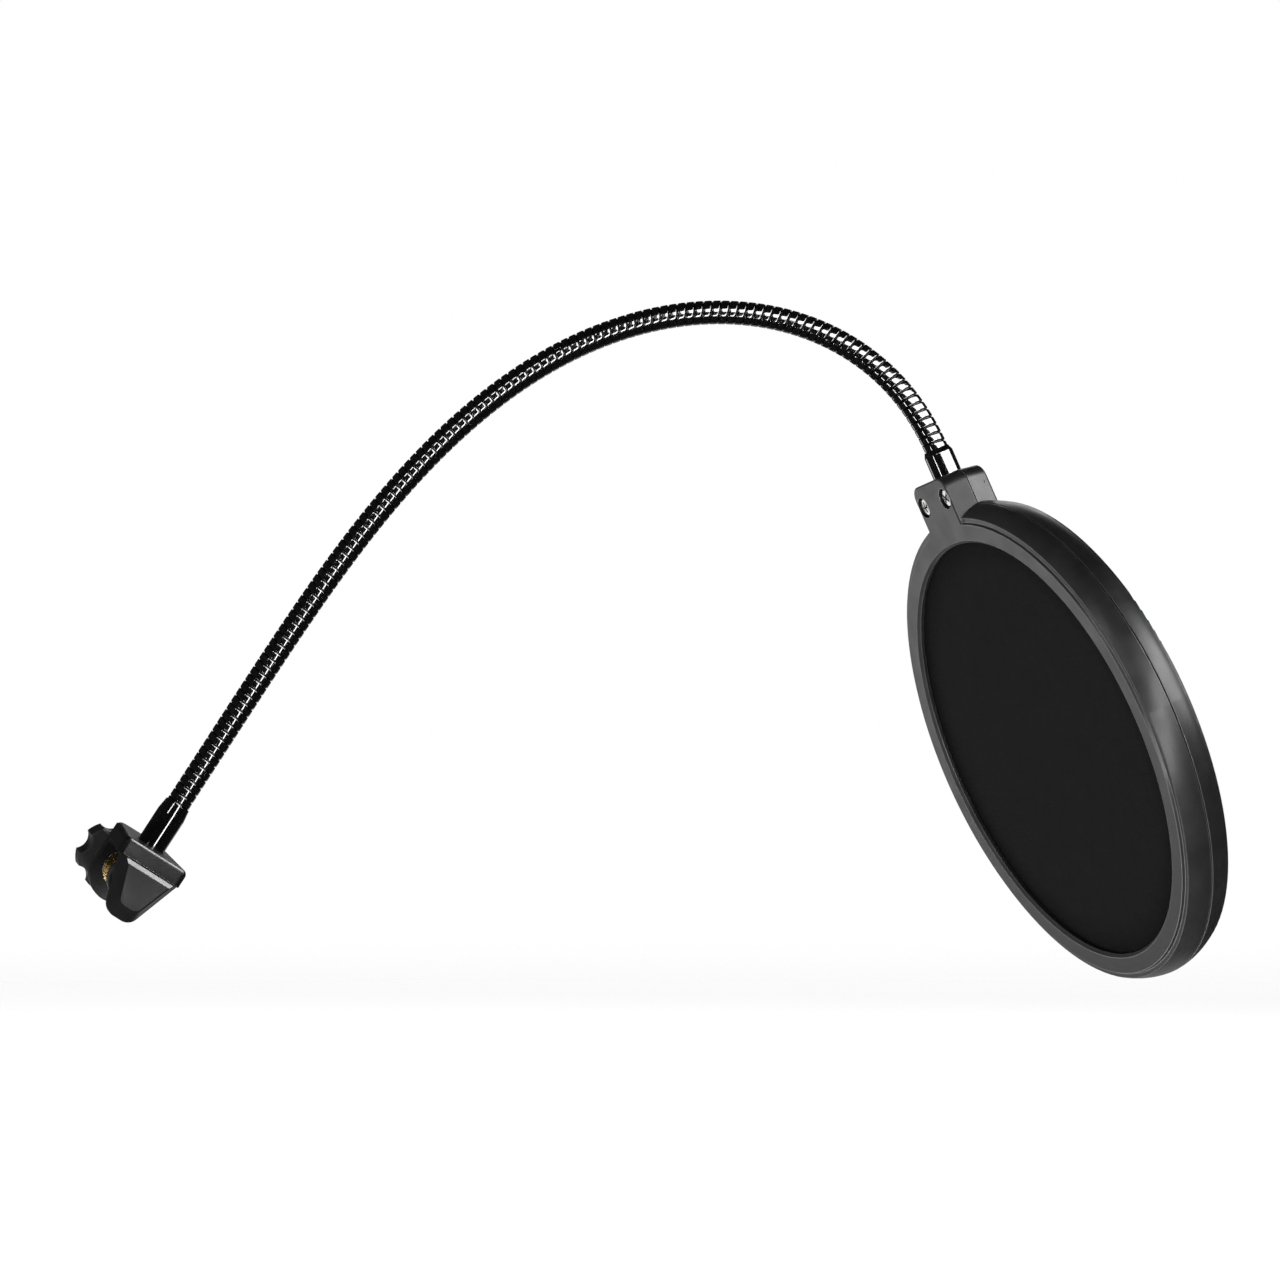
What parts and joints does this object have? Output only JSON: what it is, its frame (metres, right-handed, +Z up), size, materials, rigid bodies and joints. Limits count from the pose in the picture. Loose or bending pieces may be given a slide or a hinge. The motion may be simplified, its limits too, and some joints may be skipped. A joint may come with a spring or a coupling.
{
  "type": "pop filter",
  "caption": "Round twin-layer pop filter on a flexible gooseneck, with a small screw clamp that grips a stand or boom arm.",
  "frame": {"origin": "middle of the fixed jaw's gripping face, on the thumbscrew's axis", "axes": "+Z up; the gooseneck bends in the XZ plane, from the clamp towards +X; +Y points from the fixed jaw's side to the thumbscrew's side. The clamp leans 33 degrees about Y, as it does on a sloping boom arm."},
  "size_m": [0.3501, 0.1449, 0.2065],
  "materials": {
    "moulded_black": "black moulded ABS, finely grained",
    "rubber": "soft black rubber",
    "brass": "turned brass",
    "black_metal": "gloss black plated steel",
    "black_wire": "gloss black wedge wire",
    "steel": "bright zinc-plated steel",
    "spring_steel": "oiled spring steel",
    "mesh_cloth": "fine black nylon weave, stretched taut",
    "nylon": "natural nylon"
  },
  "bodies": {
    "clamp": {"clamp_body": "moulded_black", "fixed_jaw_pad": "rubber", "thread_insert": "brass", "foot_ferrule": "black_metal", "ferrule_screw": "steel", "outer_coil_00": "black_wire", "inner_coil_00": "spring_steel"},
    "pressure_pad": {"pressure_cup": "moulded_black", "cup_pad": "rubber"},
    "thumbscrew": {"thumbscrew": "steel", "thumb_knob": "moulded_black", "knob_cap": "moulded_black", "pad_clip": "spring_steel"},
    "neck_01": {"outer_coil_01": "black_wire", "inner_coil_01": "spring_steel"},
    "neck_02": {"outer_coil_02": "black_wire", "inner_coil_02": "spring_steel"},
    "neck_03": {"outer_coil_03": "black_wire", "inner_coil_03": "spring_steel"},
    "neck_04": {"outer_coil_04": "black_wire", "inner_coil_04": "spring_steel"},
    "neck_05": {"outer_coil_05": "black_wire", "inner_coil_05": "spring_steel"},
    "neck_06": {"outer_coil_06": "black_wire", "inner_coil_06": "spring_steel"},
    "neck_07": {"outer_coil_07": "black_wire", "inner_coil_07": "spring_steel"},
    "neck_08": {"outer_coil_08": "black_wire", "inner_coil_08": "spring_steel"},
    "neck_09": {"outer_coil_09": "black_wire", "inner_coil_09": "spring_steel"},
    "neck_10": {"outer_coil_10": "black_wire", "inner_coil_10": "spring_steel"},
    "neck_11": {"outer_coil_11": "black_wire", "inner_coil_11": "spring_steel"},
    "neck_12": {"outer_coil_12": "black_wire", "inner_coil_12": "spring_steel", "head_ferrule": "black_metal", "swivel_clip": "spring_steel"},
    "screen": {"front_ring": "moulded_black", "rear_ring": "moulded_black", "front_mesh": "mesh_cloth", "rear_mesh": "mesh_cloth", "front_hoop": "moulded_black", "rear_hoop": "moulded_black", "tab_screws": "steel", "swivel_bush": "nylon", "friction_washer": "spring_steel"}
  },
  "joints": [
    {"name": "pad_travel", "type": "slide", "parent": "clamp", "child": "pressure_pad", "axis": [-0.2029, 0.9703, 0.1318], "range_m": [-0.0095, 0.0145]},
    {"name": "thumbscrew_turn", "type": "hinge", "parent": "pressure_pad", "child": "thumbscrew", "pos_m": [-0.00243, 0.01164, 0.00158], "axis": [-0.2029, 0.9703, 0.1318], "range_deg": [-3415, 5215]},
    {"name": "neck_curl_1", "type": "hinge", "parent": "clamp", "child": "neck_01", "pos_m": [0.02567, 0.01164, 0.04486], "axis": [0.0001, 1, 0.0001], "range_deg": [-7.77, 3.15]},
    {"name": "neck_curl_2", "type": "hinge", "parent": "neck_01", "child": "neck_02", "pos_m": [0.03889, 0.01164, 0.06515], "axis": [0.0001, 1, 0.0001], "range_deg": [-9.72, 3.95]},
    {"name": "neck_sway_1", "type": "hinge", "parent": "neck_02", "child": "neck_03", "pos_m": [0.05238, 0.01164, 0.08524], "axis": [-0.8224, 0, 0.5689], "range_deg": [-15, 15]},
    {"name": "neck_curl_3", "type": "hinge", "parent": "neck_03", "child": "neck_04", "pos_m": [0.06659, 0.01164, 0.10484], "axis": [0.0001, 1, 0.0001], "range_deg": [-12.64, 5.13]},
    {"name": "neck_curl_4", "type": "hinge", "parent": "neck_04", "child": "neck_05", "pos_m": [0.08202, 0.01164, 0.12348], "axis": [0.0001, 1, 0.0001], "range_deg": [-15.55, 6.31]},
    {"name": "neck_sway_2", "type": "hinge", "parent": "neck_05", "child": "neck_06", "pos_m": [0.09915, 0.01164, 0.14057], "axis": [-0.6628, 0, 0.7488], "range_deg": [-15.01, 15.01]},
    {"name": "neck_curl_5", "type": "hinge", "parent": "neck_06", "child": "neck_07", "pos_m": [0.11836, 0.01164, 0.15526], "axis": [0.0001, 1, 0.0001], "range_deg": [-19.43, 7.88]},
    {"name": "neck_curl_6", "type": "hinge", "parent": "neck_07", "child": "neck_08", "pos_m": [0.13976, 0.01164, 0.1665], "axis": [0.0001, 1, 0.0001], "range_deg": [-19.43, 7.88]},
    {"name": "neck_sway_3", "type": "hinge", "parent": "neck_08", "child": "neck_09", "pos_m": [0.16302, 0.01164, 0.17303], "axis": [-0.1537, 0, 0.9881], "range_deg": [-15.01, 15.01]},
    {"name": "neck_curl_7", "type": "hinge", "parent": "neck_09", "child": "neck_10", "pos_m": [0.18714, 0.01164, 0.17352], "axis": [0.0001, 1, 0.0001], "range_deg": [-19.43, 7.88]},
    {"name": "neck_curl_8", "type": "hinge", "parent": "neck_10", "child": "neck_11", "pos_m": [0.21031, 0.01164, 0.16688], "axis": [0.0001, 1, 0.0001], "range_deg": [-19.43, 7.88]},
    {"name": "neck_sway_4", "type": "hinge", "parent": "neck_11", "child": "neck_12", "pos_m": [0.22983, 0.01164, 0.15279], "axis": [0.7261, 0, 0.6876], "range_deg": [-15.01, 15.01]},
    {"name": "screen_swivel", "type": "hinge", "parent": "neck_12", "child": "screen", "pos_m": [0.24636, 0.01164, 0.12492], "axis": [-0.4003, 0, 0.9164], "continuous": true}
  ],
  "couplings": [
    {"joint": "pad_travel", "follows": "thumbscrew_turn", "m_per_rad": 0.00015915},
    {"joint": "neck_curl_2", "follows": "neck_curl_1", "ratio": 1.25},
    {"joint": "neck_curl_3", "follows": "neck_curl_1", "ratio": 1.625},
    {"joint": "neck_curl_4", "follows": "neck_curl_1", "ratio": 2},
    {"joint": "neck_sway_2", "follows": "neck_sway_1", "ratio": 1},
    {"joint": "neck_curl_6", "follows": "neck_curl_5", "ratio": 1},
    {"joint": "neck_sway_3", "follows": "neck_sway_1", "ratio": 1},
    {"joint": "neck_curl_7", "follows": "neck_curl_5", "ratio": 1},
    {"joint": "neck_curl_8", "follows": "neck_curl_5", "ratio": 1},
    {"joint": "neck_sway_4", "follows": "neck_sway_1", "ratio": 1}
  ]
}
